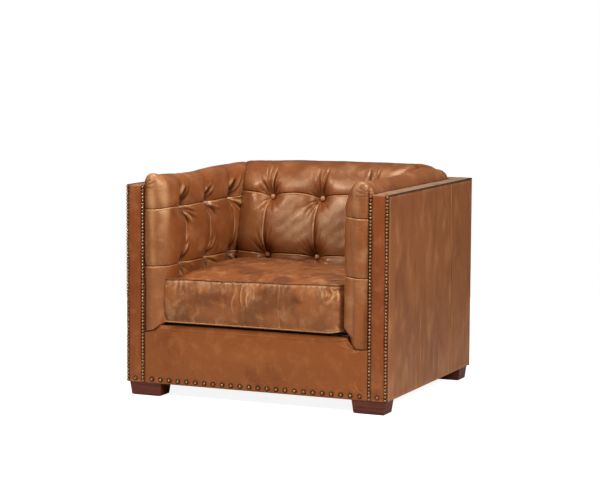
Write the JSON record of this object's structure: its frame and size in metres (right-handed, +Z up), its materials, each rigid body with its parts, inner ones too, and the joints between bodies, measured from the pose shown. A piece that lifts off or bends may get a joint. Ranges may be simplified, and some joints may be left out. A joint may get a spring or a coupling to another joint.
{
  "type": "upholstered armchair",
  "caption": "Box-arm club chair in tufted leather with nailhead trim, sprung seat and a loose boxed cushion that lifts out.",
  "frame": {"origin": "centre of the footprint on the floor, under the four feet", "axes": "+Z up; the chair faces -Y, so +Y runs towards its back; +X to the right as seen from in front"},
  "size_m": [0.92, 0.7995, 0.745],
  "materials": {
    "hardwood": "sawn hardwood, unfinished",
    "foot_wood": "dark red-brown stain, satin",
    "tan_leather": "waxed pull-up leather with darker and paler patches, satin",
    "border_leather": "the same leather, redder along the lower front",
    "cushion_leather": "the same leather, worn and mottled",
    "dark_leather": "dark brown leather of the wall tops and piping, satin",
    "foam": "foam and felt filling",
    "webbing": "woven jute webbing",
    "lining": "black non-woven cloth",
    "felt": "dense felt",
    "spring_steel": "drawn steel wire",
    "zinc_steel": "zinc-plated steel",
    "antique_brass": "antique dark brass, domed and rubbed bright on top",
    "zip": "dark zip tape"
  },
  "bodies": {
    "chair": {"front_seat_rail": "hardwood", "rear_seat_rail": "hardwood", "left_seat_rail": "hardwood", "right_seat_rail": "hardwood", "front_left_post": "hardwood", "front_right_post": "hardwood", "rear_left_post": "hardwood", "rear_right_post": "hardwood", "left_arm_rail": "hardwood", "right_arm_rail": "hardwood", "back_top_rail": "hardwood", "left_tack_rail": "hardwood", "right_tack_rail": "hardwood", "back_tack_rail": "hardwood", "corner_blocks": "hardwood", "seat_spring_1": "spring_steel", "seat_spring_2": "spring_steel", "seat_spring_3": "spring_steel", "seat_spring_4": "spring_steel", "seat_spring_5": "spring_steel", "spring_clips": "spring_steel", "spring_tie_wires": "spring_steel", "deck_pad": "foam", "deck_cloth": "lining", "left_arm_webbing": "webbing", "right_arm_webbing": "webbing", "back_webbing": "webbing", "left_arm_pad": "tan_leather", "right_arm_pad": "tan_leather", "back_pad": "tan_leather", "left_outside_arm": "tan_leather", "right_outside_arm": "tan_leather", "outside_back": "tan_leather", "left_arm_facing": "tan_leather", "right_arm_facing": "tan_leather", "left_arm_buttons": "tan_leather", "right_arm_buttons": "tan_leather", "back_buttons": "tan_leather", "front_border": "border_leather", "left_top_strip": "dark_leather", "right_top_strip": "dark_leather", "back_top_strip": "dark_leather", "outer_piping": "dark_leather", "inner_piping": "dark_leather", "left_nails": "antique_brass", "right_nails": "antique_brass", "border_nails": "antique_brass", "dust_cover": "lining", "front_left_foot": "foot_wood", "front_right_foot": "foot_wood", "rear_left_foot": "foot_wood", "rear_right_foot": "foot_wood", "foot_bolts": "zinc_steel", "foot_nuts": "zinc_steel", "foot_felts": "felt"},
    "seat_cushion": {"cushion_core": "foam", "cushion_cover": "cushion_leather", "cushion_piping": "cushion_leather", "cushion_zip": "zip"},
    "zip_slider": {"zip_slider": "antique_brass"}
  },
  "joints": [
    {"name": "seat_cushion_lift", "type": "slide", "parent": "chair", "child": "seat_cushion", "axis": [0, 0, 1], "range_m": [0, 0.52]},
    {"name": "zip_slide", "type": "slide", "parent": "seat_cushion", "child": "zip_slider", "axis": [1, 0, 0], "range_m": [0, 0.46]}
  ]
}
